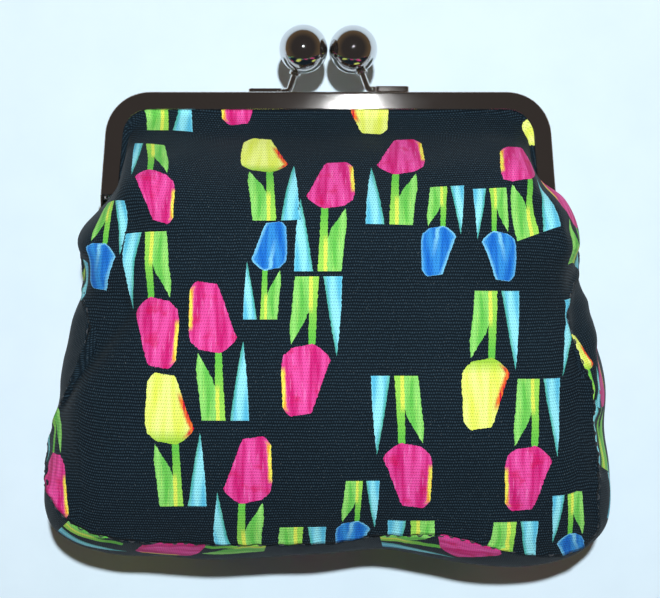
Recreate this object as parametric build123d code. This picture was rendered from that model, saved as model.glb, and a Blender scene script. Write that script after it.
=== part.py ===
"""Coin purse with a kiss-lock frame, lying on its back. Units are millimetres.

+X runs across the purse, +Y towards the clasp and +Z out of the front panel; the purse rests on z = 0.
The two frame halves meet at the closing plane and swing apart about a pair of rivets at the leg ends.
The bag is a stuffed, boxed pouch: front panel, rear panel and one long gusset strip between them, each
with an interlining and a lining, and the upper edges are jammed into the frame channels with paper cord.
"""

import math
import os

from build123d import *

# Frame: each half is a bent U-section channel, closed by the other half at the closing plane.
CLOSING_Z = 25.0
FRAME_TOP_Y = 46.6
FRAME_HALF_TOP = 51.3  # half width of the outline, carried up to the top edge
LEG_FLARE_DEG = 4.3
FRAME_CORNER_R = 10.5
FACE_DEPTH = 4.2  # width of the polished face
CHANNEL_DEEP = 4.0
SHEET = 0.6
HALF_GAP = 0.1  # from the closing plane to each half
OUTER_EDGE_R = 0.45

# Hinge: an eye on each leg end, and a rivet through both eyes along X.
HINGE_Y = 18.5
LEG_END_Y = 22.5
EYE_R = 2.8
RIVET_R = 0.95
RIVET_CLEARANCE = 0.05
RIVET_HEAD_R = 1.9
RIVET_HEAD_THICK = 0.8
TAB_LAP = 3.0  # how far an inner tab runs up inside its leg
TAB_GAP = 0.05

# Kiss lock: a ball on a leaning stem on each half; the balls pass each other as the frame closes.
BALL_R = 5.7
BALL_X = 5.85
BALL_Y = 57.05
BALL_CROSSING = 0.4  # how far each ball sits past the closing plane
STEM_R = 0.75
STEM_LEAN_DEG = 21.0
STEM_DEPTH_IN_BALL = 1.7
STEM_FOOT_X = 9.3
FOOT_END_X = 18.9
FOOT_WIDE = 3.2
COLLAR_R = 1.35
COLLAR_THICK = 0.9

# Cloth: outer fabric, interlining and lining, from the outside in.
OUTER_THICK = 0.6
INTERLINING_THICK = 0.9
LINING_THICK = 0.4
CORD_R = 0.42
EDGE_LOW_Y = 26.0  # the jammed edges stop here, clear of the tabs
BED_GAP = 0.1

# Bag: the outline at the closing plane, right-hand side, and how it closes towards front and rear.
BAG_CENTRE_Y = -2.0
FRONT_HIGH = 34.0
REAR_HIGH = 25.0
MOUTH_CORNER = (46.8, 42.1)
LEG_FOOT = (48.4, 23.5)
SHOULDER = (57.3, 19.0)
WAIST = (58.6, 8.0)
HIP = (65.4, -34.0)
TOE = (64.0, -62.7)
TOE_R = 12.6
MOUTH_R = 6.3
LEG_BULGE = 4.5  # how far the cloth spreads out over the legs once it is clear of them
FRONT_LEVELS = (0.0, 0.13, 0.3, 0.46, 0.6, 0.72, 0.82, 0.9, 0.95, 0.985)
REAR_LEVELS = (0.9, 0.8, 0.65, 0.48, 0.32, 0.16)
TOP_POWER = 1.6
SIDE_POWER = 3.0
BOTTOM_POWER = 3.5

# Seams between the panels and the gusset, in side view: they part at the hinge and run to the bottom.
SEAM_HALF_AT_HINGE = 3.2
SEAM_KNEE_Y = -18.0
FRONT_SEAM_Z = 48.0
REAR_SEAM_Z = 8.0
SPLIT_Y = 13.0  # the front wall is parted here, below the sweep of the moving legs
PANEL_GAP = 0.2  # between the front wall's upper part and what stays still
SWING_R = 6.2  # room round the hinge for the end of the moving leg
FAR = 90.0


def arch(inset, low_y):
    """Face of the frame's inverted-U outline, moved in by inset and cut off at low_y."""
    lean = math.tan(math.radians(LEG_FLARE_DEG))
    top_y = FRAME_TOP_Y - inset

    def half(y):
        return FRAME_HALF_TOP + (FRAME_TOP_Y - y) * lean - inset

    corners = [(-half(low_y), low_y), (-half(top_y), top_y), (half(top_y), top_y), (half(low_y), low_y)]
    face = make_face(Polyline(*corners, close=True))
    return fillet(face.vertices().sort_by(Axis.Y)[-2:], FRAME_CORNER_R - inset)


def slab(face, low_z, high_z):
    """Solid of a flat face between two heights."""
    return extrude(Pos(0, 0, low_z) * face, high_z - low_z)


def block(low, high):
    """Box from its lowest corner to its highest corner."""
    size = [h - l for l, h in zip(low, high)]
    middle = [(h + l) / 2 for l, h in zip(low, high)]
    return Pos(*middle) * Box(*size)


def front_to_rear(shape):
    """The same shape on the other frame half: turned half a turn about Y through the closing plane."""
    return Pos(0, 0, CLOSING_Z) * (Rot(0, 180, 0) * (Pos(0, 0, -CLOSING_Z) * shape))


def x_cylinder(radius, low_x, high_x, y, z):
    """Cylinder along X."""
    middle = (low_x + high_x) / 2
    return Pos(middle, y, z) * (Rot(0, 90, 0) * Cylinder(radius, high_x - low_x))


def leg_outer_x():
    """Outer face of a leg at its lower end."""
    return FRAME_HALF_TOP + (FRAME_TOP_Y - LEG_END_Y) * math.tan(math.radians(LEG_FLARE_DEG))


def hinge_tab(outer_x):
    """Flat tab with an eye, below the right leg of the front half."""
    low_z = CLOSING_Z + HALF_GAP + SHEET
    high_z = CLOSING_Z + HALF_GAP + CHANNEL_DEEP - SHEET
    root = Pos(LEG_END_Y, (low_z + high_z) / 2) * Rectangle(0.4, high_z - low_z)
    eye = Pos(HINGE_Y, CLOSING_Z) * Circle(EYE_R)
    profile = Plane.YZ * make_hull([*root.edges(), *eye.edges()])
    tab = Pos(outer_x - SHEET, 0, 0) * extrude(profile, SHEET, dir=(1, 0, 0))
    return tab - x_cylinder(RIVET_R + RIVET_CLEARANCE, outer_x - 2, outer_x + 2, HINGE_Y, CLOSING_Z)


def channel():
    """Front half of the frame without its hinge tabs."""
    low_z = CLOSING_Z + HALF_GAP
    high_z = low_z + CHANNEL_DEEP
    body = slab(arch(0, LEG_END_Y), low_z, high_z)
    rims = [e for e in body.edges() if abs(e.center().Z - (low_z + high_z) / 2) > CHANNEL_DEEP / 2 - 0.01]
    rims = [e for e in rims if e.center().Y > LEG_END_Y + 0.01]
    body = fillet(rims, OUTER_EDGE_R)
    body -= slab(arch(FACE_DEPTH, LEG_END_Y - 1), low_z - 1, high_z + 1)
    return body - slab(arch(SHEET, LEG_END_Y - 1), low_z + SHEET, high_z - SHEET)


def outer_tab():
    """Tab that carries straight on from the side of the leg."""
    return hinge_tab(leg_outer_x())


def inner_tab():
    """Tab of the other half: it lies just inside the first and laps up inside its own leg."""
    outer_x = leg_outer_x() - SHEET - TAB_GAP
    lap = block(
        (outer_x - SHEET, LEG_END_Y, CLOSING_Z + HALF_GAP + SHEET),
        (outer_x + 0.3, LEG_END_Y + TAB_LAP, CLOSING_Z + HALF_GAP + CHANNEL_DEEP - SHEET),
    )
    return hinge_tab(outer_x) + lap


def frame_half(tab):
    """Frame half with a tab below each leg."""
    return channel() + tab + mirror(tab, Plane.YZ)


def rivet():
    """Right-hand hinge rivet: shank, domed outer head and peened inner head."""
    outer_x = leg_outer_x() + TAB_GAP
    inner_x = leg_outer_x() - 2 * SHEET - TAB_GAP
    shank = x_cylinder(RIVET_R, inner_x, outer_x, HINGE_Y, CLOSING_Z)
    dome = x_cylinder(RIVET_HEAD_R, outer_x, outer_x + RIVET_HEAD_THICK, HINGE_Y, CLOSING_Z)
    dome = fillet(dome.edges().sort_by(Axis.X)[-1], 0.6)
    peen = x_cylinder(RIVET_HEAD_R - 0.2, inner_x - RIVET_HEAD_THICK, inner_x, HINGE_Y, CLOSING_Z)
    peen = fillet(peen.edges().sort_by(Axis.X)[0], 0.5)
    return dome + shank + peen


def clasp():
    """Arm, collar and ball of the front half, on the right."""
    foot_z = CLOSING_Z + HALF_GAP + CHANNEL_DEEP / 2
    centre = Vector(BALL_X, BALL_Y, CLOSING_Z - BALL_CROSSING)
    bend = Vector(STEM_FOOT_X, FRAME_TOP_Y + STEM_R, foot_z)
    down = (bend - centre).normalized()
    start = centre + down * (BALL_R - STEM_DEPTH_IN_BALL)
    path = FilletPolyline(start, bend, bend + Vector(3.0, 0, 0), radius=1.1)
    stem = sweep(Plane(origin=start, z_dir=down) * Circle(STEM_R), path=path)
    foot = block(
        (STEM_FOOT_X + 1.6, FRAME_TOP_Y, foot_z - FOOT_WIDE / 2),
        (FOOT_END_X, FRAME_TOP_Y + 1.3, foot_z + FOOT_WIDE / 2),
    )
    foot = fillet(foot.edges().filter_by(Axis.Y), 0.9)
    arm = foot + stem
    bore = Plane(origin=start, z_dir=down) * Pos(0, 0, 5) * Cylinder(STEM_R, 10)
    ball = Pos(*centre) * Sphere(BALL_R) - bore
    seat = Plane(origin=centre + down * (BALL_R - 0.02), z_dir=down)
    collar = seat * (Pos(0, 0, COLLAR_THICK / 2) * Cylinder(COLLAR_R, COLLAR_THICK))
    collar = fillet(collar.edges(), 0.25)
    collar -= seat * Cylinder(STEM_R, 6)
    return arm, collar, ball


def closing(level, power):
    """Superellipse factor: 1 at the closing plane, falling to 0 at the full height."""
    return (1 - level**power) ** (1 / power)


def bag_section(level, inset):
    """Outline of the bag at a level between the closing plane (0) and its full height (1)."""
    wide = closing(level, SIDE_POWER)
    up = closing(level, TOP_POWER)
    down = closing(level, BOTTOM_POWER)
    bulge = LEG_BULGE * min(1, max(0, level - FRONT_LEVELS[1]) / (FRONT_LEVELS[3] - FRONT_LEVELS[1]))

    def place(point, out_x, in_y):
        x = (point[0] + out_x - inset) * wide
        rise = point[1] - in_y - BAG_CENTRE_Y
        return (x, BAG_CENTRE_Y + rise * (up if rise > 0 else down))

    right = [
        place(MOUTH_CORNER, 0, inset),
        place(LEG_FOOT, bulge, 0.6 * inset),
        place(SHOULDER, 0, 0.6 * inset),
        place(WAIST, 0, 0),
        place(HIP, 0, 0),
        place(TOE, 0, -inset),
    ]
    left = [(-x, y) for x, y in reversed(right)]
    face = make_face(Polyline(*right, *left, close=True))
    by_height = face.vertices().sort_by(Axis.Y)
    face = fillet(by_height[:2], TOE_R * down)
    by_height = face.vertices().sort_by(Axis.Y)
    return fillet(by_height[-2:], (MOUTH_R - 0.5 * inset) * up)


def bag(inset):
    """Closed solid inside the bag's outer surface, moved in by inset."""
    rear = [(CLOSING_Z - level * (REAR_HIGH - inset) / REAR_LEVELS[0], level) for level in REAR_LEVELS]
    front = [(CLOSING_Z + level * (FRONT_HIGH - inset) / FRONT_LEVELS[-1], level) for level in FRONT_LEVELS]
    return loft([Pos(0, 0, z) * bag_section(level, inset) for z, level in rear + front], ruled=True)


def side_region(points):
    """Everything whose side view (y, z) lies in the polygon."""
    profile = Plane.YZ * make_face(Polyline(*points, close=True))
    return Pos(-FAR, 0, 0) * extrude(profile, 2 * FAR, dir=(1, 0, 0))


def seam_z(y):
    """Height of the front seam between the hinge and the knee."""
    hinge_z = CLOSING_Z + SEAM_HALF_AT_HINGE
    return hinge_z + (FRONT_SEAM_Z - hinge_z) * (HINGE_Y - y) / (HINGE_Y - SEAM_KNEE_Y)


def regions():
    """Cutting regions of the gusset, the front wall above and below its split, and the rear wall."""
    low = CLOSING_Z - SEAM_HALF_AT_HINGE
    high = seam_z(HINGE_Y)
    split_z = seam_z(SPLIT_Y)
    return {
        "gusset": side_region(
            [(HINGE_Y, low), (HINGE_Y, high), (SEAM_KNEE_Y, FRONT_SEAM_Z), (-FAR, FRONT_SEAM_Z),
             (-FAR, REAR_SEAM_Z), (SEAM_KNEE_Y, REAR_SEAM_Z)]
        ),
        "front_upper": side_region(
            [(HINGE_Y + PANEL_GAP, CLOSING_Z), (HINGE_Y + PANEL_GAP, high),
             (SPLIT_Y + PANEL_GAP, split_z + PANEL_GAP), (SPLIT_Y + PANEL_GAP, FAR), (FAR, FAR),
             (FAR, CLOSING_Z)]
        ),
        "front_lower": side_region(
            [(SPLIT_Y, split_z), (SPLIT_Y, FAR), (-FAR, FAR), (-FAR, FRONT_SEAM_Z), (SEAM_KNEE_Y, FRONT_SEAM_Z)]
        ),
        "rear": side_region(
            [(HINGE_Y, CLOSING_Z), (HINGE_Y, low), (SEAM_KNEE_Y, REAR_SEAM_Z), (-FAR, REAR_SEAM_Z),
             (-FAR, -FAR), (FAR, -FAR), (FAR, CLOSING_Z)]
        ),
    }


def leg_swing():
    """Room that the end of the moving leg needs round the hinge, both sides."""
    low_x = leg_outer_x() - FACE_DEPTH - 0.4
    high_x = leg_outer_x() + TAB_GAP + RIVET_HEAD_THICK + 0.3
    right = x_cylinder(SWING_R, low_x, high_x, HINGE_Y, CLOSING_Z)
    return right + mirror(right, Plane.YZ)


def edge_band(low_z, high_z, hollow):
    """The strip of one layer in the front channel, between its bed and the inside of the layer's wall."""
    return slab(arch(SHEET + BED_GAP, EDGE_LOW_Y), low_z, high_z) - hollow


def cloth_layer(inset, thick, edge_top_z):
    """One layer of the bag: front wall above and below its split, rear wall and gusset.

    edge_top_z is the height of the layer's outer face in the front channel.
    """
    hollow = bag(inset + thick)
    shell = bag(inset) - hollow - leg_swing()
    parts = {name: shell & region for name, region in regions().items()}
    edge_low_z = edge_top_z - thick
    parts["front_upper"] -= block((-FAR, HINGE_Y, -FAR), (FAR, FAR, edge_low_z))
    parts["front_upper"] += edge_band(edge_low_z, edge_top_z, hollow)
    rear_edge_z = 2 * CLOSING_Z - edge_low_z
    parts["rear"] -= block((-FAR, HINGE_Y, rear_edge_z), (FAR, FAR, FAR))
    parts["rear"] += edge_band(rear_edge_z - thick, rear_edge_z, hollow)
    return parts


def paper_cord():
    """Cord jammed under the cloth in the front channel, from one leg to the other."""
    z = CLOSING_Z + HALF_GAP + SHEET + CORD_R + 0.02
    rim = arch(SHEET + BED_GAP + CORD_R + 0.1, EDGE_LOW_Y).edges()
    path = Pos(0, 0, z) * Wire([e for e in rim if e.center().Y > EDGE_LOW_Y + 0.01])
    return sweep(Plane(origin=path @ 0, z_dir=path % 0) * Circle(CORD_R), path=path)


def main_solid(shape):
    """The largest solid of a cut, without slivers."""
    return shape.solids().sort_by(SortBy.VOLUME)[-1]


def build():
    """Every node of the purse, by name."""
    arm, collar, ball = clasp()
    cord = paper_cord()
    right_rivet = rivet()
    nodes = {
        "front_frame": frame_half(outer_tab()),
        "rear_frame": front_to_rear(frame_half(inner_tab())),
        "right_hinge_rivet": right_rivet,
        "left_hinge_rivet": mirror(right_rivet, Plane.YZ),
        "front_clasp_arm": arm,
        "front_clasp_collar": collar,
        "front_clasp_ball": ball,
        "rear_clasp_arm": front_to_rear(arm),
        "rear_clasp_collar": front_to_rear(collar),
        "rear_clasp_ball": front_to_rear(ball),
        "front_paper_cord": cord,
        "rear_paper_cord": front_to_rear(cord),
    }
    edge_top_z = CLOSING_Z + HALF_GAP + CHANNEL_DEEP - SHEET
    inset = 0.0
    layers = (("panel", "gusset", OUTER_THICK), ("interlining", "gusset_interlining", INTERLINING_THICK),
              ("lining", "gusset_lining", LINING_THICK))
    for name, gusset_name, thick in layers:
        parts = cloth_layer(inset, thick, edge_top_z)
        nodes[f"front_{name}_upper"] = main_solid(parts["front_upper"])
        nodes[f"front_{name}_lower"] = main_solid(parts["front_lower"])
        nodes[f"rear_{name}"] = main_solid(parts["rear"])
        nodes[gusset_name] = main_solid(parts["gusset"])
        inset += thick
        edge_top_z -= thick
    return nodes


os.makedirs("parts", exist_ok=True)
for node, shape in build().items():
    export_step(shape, f"parts/{node}.step")
    size = shape.bounding_box()
    print(node, len(shape.solids()), round(shape.volume, 1), size.min, size.max)
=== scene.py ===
import math
from functools import reduce

import bpy
import numpy as np
from mathutils import Matrix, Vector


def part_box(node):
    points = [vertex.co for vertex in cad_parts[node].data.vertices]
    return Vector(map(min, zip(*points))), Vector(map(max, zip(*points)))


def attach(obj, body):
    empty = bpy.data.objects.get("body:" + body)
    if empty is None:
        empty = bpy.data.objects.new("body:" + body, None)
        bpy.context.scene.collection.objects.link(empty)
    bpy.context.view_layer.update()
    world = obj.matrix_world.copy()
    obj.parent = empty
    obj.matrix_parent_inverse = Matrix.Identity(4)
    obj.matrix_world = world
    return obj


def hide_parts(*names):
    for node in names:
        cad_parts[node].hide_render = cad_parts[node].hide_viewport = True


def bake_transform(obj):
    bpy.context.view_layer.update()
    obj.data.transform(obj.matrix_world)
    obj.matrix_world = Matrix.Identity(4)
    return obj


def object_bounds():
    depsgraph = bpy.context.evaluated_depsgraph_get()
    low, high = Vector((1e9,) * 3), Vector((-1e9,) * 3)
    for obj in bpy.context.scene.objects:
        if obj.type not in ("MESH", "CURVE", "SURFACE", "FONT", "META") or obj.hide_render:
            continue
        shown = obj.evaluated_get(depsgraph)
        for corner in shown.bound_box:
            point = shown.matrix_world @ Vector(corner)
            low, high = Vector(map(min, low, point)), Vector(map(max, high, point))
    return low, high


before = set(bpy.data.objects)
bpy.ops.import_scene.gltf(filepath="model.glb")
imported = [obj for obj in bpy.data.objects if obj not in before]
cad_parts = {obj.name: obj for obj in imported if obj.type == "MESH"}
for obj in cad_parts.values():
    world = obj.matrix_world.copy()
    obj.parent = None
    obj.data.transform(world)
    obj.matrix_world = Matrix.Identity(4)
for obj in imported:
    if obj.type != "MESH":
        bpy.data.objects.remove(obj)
cad_low, cad_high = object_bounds()

# The purse lies on its back: +X to the right, +Y to the clasp, +Z out of the front panel.
# Shapes are worked out in millimetres and turned into metres when a mesh is made.
MM = 0.001
ROOT = "bag_and_rear_frame"
BAG_CENTRE_Y = -2.0


def node_box(node):
    """Lowest and highest corner of a CAD node, in millimetres."""
    low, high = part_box(node)
    return np.array(low) / MM, np.array(high) / MM


rear_low, _ = node_box("rear_frame")
front_low, front_high = node_box("front_frame")
rivet_low, rivet_high = node_box("right_hinge_rivet")
CLOSING_Z = (rear_low[2] + front_high[2]) / 2
HINGE_Y = (rivet_low[1] + rivet_high[1]) / 2
LEG_END_Y = front_low[1]
BAG_MIDDLE = np.array([0, BAG_CENTRE_Y, CLOSING_Z])
FRONT_HIGH = cad_high[2] / MM - CLOSING_Z
REAR_HIGH = CLOSING_Z

# The frame's channels: width of their face, thickness of the metal, and the gaps left round the cloth.
FACE_WIDE, METAL_THICK, FACE_GAP, END_GAP = 4.2, 0.6, 0.02, 0.3
# The outer face of the cloth in a channel, from the closing plane, and how deep the cloth goes in.
SLOT_FACE = front_high[2] - METAL_THICK - CLOSING_Z - FACE_GAP
SLOT_REACH = FACE_WIDE - METAL_THICK - END_GAP

# The cloth's layers, each as depth of its outer face below the bag's outer surface, and thickness.
LAYERS = {"panel": (0.0, 0.55), "interlining": (0.6, 0.85), "lining": (1.5, 0.38)}

COLUMNS = 480  # round the bag
ROWS = 92  # from an edge to the middle of a panel
GUSSET_ROWS = 44

# How the bag's outline shrinks towards the front and the rear: superellipse powers.
SIDE_POWER = 3.2
SIDE_POWER_GAIN = 2.6  # the cloth stands up straighter beside the frame's legs
BOTTOM_POWER = 3.1
# Above the middle it runs out level from the frame and then climbs steeply to the belly: pairs of
# height over the closing plane, as a share of the belly's, and what is left of the outline's rise.
TOP_PROFILE = [
    (0.0, 1.0),
    (0.1, 0.99),
    (0.15, 0.925),
    (0.235, 0.86),
    (0.44, 0.765),
    (0.65, 0.65),
    (0.79, 0.535),
    (0.88, 0.43),
    (0.94, 0.325),
    (0.98, 0.2),
    (1.0, 0.0),
]


# ---------------------------------------------------------------- outline
# Each point is (x, y) in the closing plane, inside the frame and below the hinges, then, where it differs,
# (x, y) once the cloth has spread out over the legs. They run from the middle of the mouth down the right
# side, along the bottom and up the left side.
OUTLINE = [
    (0.0, 42.1),
    (20.0, 42.1),
    (39.0, 42.1),
    (43.2, 41.1),
    (45.9, 38.4),
    (46.9, 34.5, 47.0, 34.5),
    (47.5, 30.0, 49.0, 30.5),
    (48.1, 25.0, 53.2, 27.4),
    (48.6, 19.0, 55.4, 24.2),
    (49.6, 15.0, 56.9, 20.5),
    (53.2, 12.4, 57.6, 16.5),
    (55.4, 9.6, 56.6, 12.0),
    (56.4, 4.0, 56.6, 4.5),
    (58.9, -5.0),
    (62.4, -13.0),
    (64.3, -22.0),
    (64.2, -32.0),
    (65.7, -42.0),
    (65.4, -49.0),
    (63.2, -55.2),
    (58.5, -59.4),
    (52.0, -61.6),
    (44.0, -62.9),
    (34.0, -62.7),
    (24.0, -61.2),
    (12.0, -59.3),
    (0.0, -60.2),
    (-14.0, -61.2),
    (-28.0, -61.8),
    (-42.0, -61.0),
    (-52.0, -59.9),
    (-59.0, -57.9),
    (-63.8, -54.3),
    (-65.9, -48.6),
    (-65.2, -41.0),
    (-63.4, -31.0),
    (-61.4, -20.0),
    (-58.2, -9.5),
    (-56.6, -1.0),
    (-56.3, 6.0, -56.5, 7.0),
    (-55.8, 9.8, -56.9, 12.0),
    (-53.0, 12.4, -57.0, 16.0),
    (-49.6, 15.0, -55.2, 19.5),
    (-48.6, 19.0, -52.6, 22.6),
    (-48.1, 25.0, -50.0, 26.0),
    (-47.5, 30.0, -47.6, 30.4),
    (-46.9, 34.5),
    (-45.9, 38.4),
    (-43.2, 41.1),
    (-39.0, 42.1),
    (-20.0, 42.1),
]
SPREAD_FROM, SPREAD_TO = 4.3, 9.5  # distance from the closing plane over which the cloth spreads


def running(steps):
    """Running total of steps, from 0."""
    return np.concatenate([[0], np.cumsum(steps)])


def unit(vectors):
    """The vectors along the last axis at length 1."""
    return vectors / np.linalg.norm(vectors, axis=-1, keepdims=True)


def closed_spline(points, count):
    """Evenly spaced points along a closed Catmull-Rom curve."""
    steps = np.linalg.norm(np.roll(points, -1, 0) - points, axis=1)
    knots = running(steps)
    where = np.linspace(0, knots[-1], count, endpoint=False)
    k = np.clip(np.searchsorted(knots, where, side="right") - 1, 0, len(points) - 1)
    f = ((where - knots[k]) / steps[k])[:, None]
    p0, p1, p2, p3 = (points[(k + i) % len(points)] for i in (-1, 0, 1, 2))
    s1 = steps[k][:, None]
    s0, s2 = steps[(k - 1) % len(points)][:, None], steps[(k + 1) % len(points)][:, None]
    m1 = ((p1 - p0) / s0 - (p2 - p0) / (s0 + s1) + (p2 - p1) / s1) * s1
    m2 = ((p2 - p1) / s1 - (p3 - p1) / (s1 + s2) + (p3 - p2) / s2) * s1
    return (
        (2 * f**3 - 3 * f**2 + 1) * p1
        + (f**3 - 2 * f**2 + f) * m1
        + (3 * f**2 - 2 * f**3) * p2
        + (f**3 - f**2) * m2
    )


both_outlines = np.array([point if len(point) == 4 else point * 2 for point in OUTLINE])
curve = closed_spline(both_outlines, COLUMNS)
NECK, SPREAD = curve[:, :2], curve[:, 2:]


# ---------------------------------------------------------------- the bag's surface
def ease(low, high, x):
    """0 below low, 1 above high, smooth in between."""
    f = np.clip((np.asarray(x, float) - low) / (high - low), 0, 1)
    return f * f * (3 - 2 * f)


def bump(x, middle, wide):
    """A smooth hill of height 1."""
    return np.exp(-(((np.asarray(x, float) - middle) / wide) ** 2))


def shrink(level, power):
    """What is left of the outline at a level: a superellipse, 1 at the closing plane and 0 at the top."""
    return np.clip(1 - np.clip(level, 0, 1) ** power, 0, 1) ** (1 / power)


profile = np.array(TOP_PROFILE)
FALL = np.sqrt(1 - profile[::-1, 0])  # the profile is close to straight over this
FALL_STEPS = np.linspace(0, 1, 400)
LEFT_OVER = np.interp(FALL_STEPS, FALL, profile[::-1, 1])
PROFILE_SMOOTHING = 60
for _ in range(PROFILE_SMOOTHING):
    LEFT_OVER[1:-1] = (LEFT_OVER[:-2] + 2 * LEFT_OVER[1:-1] + LEFT_OVER[2:]) / 4


def top_shrink(level):
    """What is left of the outline's rise over the bag's middle."""
    return np.interp(np.sqrt(1 - np.clip(level, 0, 1)), FALL_STEPS, LEFT_OVER)


REAR_FLAT = 0.9  # the rear wall rests flat from this level on


def height_at(level, side):
    """Distance from the closing plane at a level, towards the front (side 1) or the rear (-1)."""
    if side > 0:
        return FRONT_HIGH * level
    return REAR_HIGH * np.minimum(1, level / REAR_FLAT)


def level_at(height, side):
    """The level at a distance from the closing plane."""
    return height / FRONT_HIGH if side > 0 else REAR_FLAT * height / REAR_HIGH


def side_power(rise, level):
    """The superellipse power for the sides, at a height of the outline over the bag's middle."""
    return SIDE_POWER + SIDE_POWER_GAIN * ease(2, 28, rise) * (1 - ease(0.5, 0.93, level))


def surface(columns, level, side):
    """Points of the bag's outer surface."""
    height = height_at(level, side)
    spread = ease(SPREAD_FROM, SPREAD_TO, height)[..., None]
    ring = NECK[columns] + (SPREAD[columns] - NECK[columns]) * spread
    rise = ring[..., 1] - BAG_CENTRE_Y
    vertical = np.where(rise > 0, top_shrink(level), shrink(level, BOTTOM_POWER))
    x = ring[..., 0] * shrink(level, side_power(rise, level))
    y = BAG_CENTRE_Y + rise * vertical
    return np.stack([x, y, CLOSING_Z + side * height], -1)


# Where the panels are sewn to the gusset: beside the hinge both seams lie SEAM_AT_HINGE from the closing
# plane, and below it each goes out by its rise over a length of leg.
SEAM_AT_HINGE = 3.6
FRONT_SEAM_RISE, FRONT_SEAM_OVER = 18.6, 27
REAR_SEAM_RISE, REAR_SEAM_OVER = 13.4, 30
# Hills and dips of the front seam as (height, middle, half width): down the two sides, then across, at the
# right bottom corner and along the bottom. The last two come in over these distances below the origin.
RIGHT_SIDE_HILL, LEFT_SIDE_DIP, CORNER_DIP = (2.6, -9, 16), (12.0, -36, 10), (5.0, 58, 10)
BOTTOM_HILLS = [(2.8, 30, 13), (-1.0, 2, 7), (0.5, -30, 15)]
CORNER_FROM, CORNER_TO = 50, 57
BOTTOM_FROM, BOTTOM_TO = 46, 56


def hill(x, high, middle, wide):
    """A smooth hill of a height."""
    return high * bump(x, middle, wide)


def front_seam(x, y):
    """How far in front of the closing plane the front panel meets the gusset."""
    height = SEAM_AT_HINGE + FRONT_SEAM_RISE * ease(0, FRONT_SEAM_OVER, HINGE_Y - y)
    height += hill(y, *RIGHT_SIDE_HILL) * (x > 0) - hill(y, *LEFT_SIDE_DIP) * (x < 0)
    height -= hill(x, *CORNER_DIP) * ease(CORNER_FROM, CORNER_TO, -y)
    return height + ease(BOTTOM_FROM, BOTTOM_TO, -y) * sum(hill(x, *each) for each in BOTTOM_HILLS)


def rear_seam(y):
    """How far behind the closing plane the rear panel meets the gusset."""
    return SEAM_AT_HINGE + REAR_SEAM_RISE * ease(0, REAR_SEAM_OVER, HINGE_Y - y)


# Rows are spaced along a superellipse about the size of the bag's section.
ARC_WIDE, ARC_HIGH, ARC_POWER = 58, 34, 2.6
ROW_SPACING = 0.92  # under 1, rows lie closer together towards the middle
LAST_ROW = 0.996  # share of the arc at the last row, just short of the middle


def arc_levels(start, rows):
    """Levels from each start to the middle of the panel, spaced along the cloth."""
    angle = np.linspace(0, math.pi / 2, 600)
    radius = ARC_WIDE * np.cos(angle).clip(0) ** (2 / ARC_POWER)
    level = np.sin(angle) ** (2 / ARC_POWER)
    arc = running(np.hypot(np.diff(radius), np.diff(ARC_HIGH * level)))
    first = np.interp(start, level, arc)[:, None]
    last = arc[-1] * LAST_ROW
    return np.interp(first + (last - first) * np.linspace(0, 1, rows) ** ROW_SPACING, arc, level)


def grid_normals(points, closed):
    """Unit normals of a grid of points; columns along axis 0, rows along axis 1."""
    if closed:
        across = np.roll(points, -1, 0) - np.roll(points, 1, 0)
    else:
        across = np.gradient(points, axis=0)
    along = np.gradient(points, axis=1)
    normal = np.cross(across, along)
    length = np.linalg.norm(normal, axis=-1, keepdims=True)
    return normal / np.maximum(length, 1e-9)


def outward_2d(ring):
    """Outward unit normals of the closed outline, which runs clockwise."""
    tangent = unit(np.roll(ring, -1, 0) - np.roll(ring, 1, 0))
    return np.stack([-tangent[:, 1], tangent[:, 0]], 1)


NECK_OUT = outward_2d(NECK)
ALL_COLUMNS = np.arange(COLUMNS)
IN_FRAME = ease(24.5, 27.0, NECK[:, 1])  # 1 where the cloth is glued into the frame
EDGE_STEPS = np.array([1.0, 0.66, 0.33, 0.1])  # rows of cloth hidden in the channel or the seam
EDGE = len(EDGE_STEPS)
ALLOWANCE = 2.4  # width of the seam allowance that is turned inwards
TURNED_OFF = 0.3  # and how far it keeps from the other panel's


def panel_grid(side):
    """Outer surface of the front (side 1) or rear (-1) panel, from its edge to its middle."""
    x, y = NECK[:, 0], NECK[:, 1]
    seam = front_seam(x, y) if side > 0 else rear_seam(y)
    start = IN_FRAME * SLOT_FACE + (1 - IN_FRAME) * seam
    level = arc_levels(level_at(start, side), ROWS)
    body = surface(ALL_COLUMNS[:, None] + np.zeros((1, ROWS), int), level, side)
    reach = EDGE_STEPS[None, :, None]
    edge = body[:, :1]
    channel = np.concatenate([NECK, np.full((COLUMNS, 1), CLOSING_Z + side * SLOT_FACE)], 1)[:, None]
    out = np.concatenate([NECK_OUT, np.zeros((COLUMNS, 1))], 1)[:, None]
    glued = channel + out * reach * SLOT_REACH
    turned = edge + unit(BAG_MIDDLE - edge) * reach * ALLOWANCE + np.array([0, 0, side * TURNED_OFF])
    share = IN_FRAME[:, None, None]
    return np.concatenate([glued * share + turned * (1 - share), body], 1)


GUSSET_COLUMNS = np.flatnonzero(NECK[:, 1] < HINGE_Y + 0.5)


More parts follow.
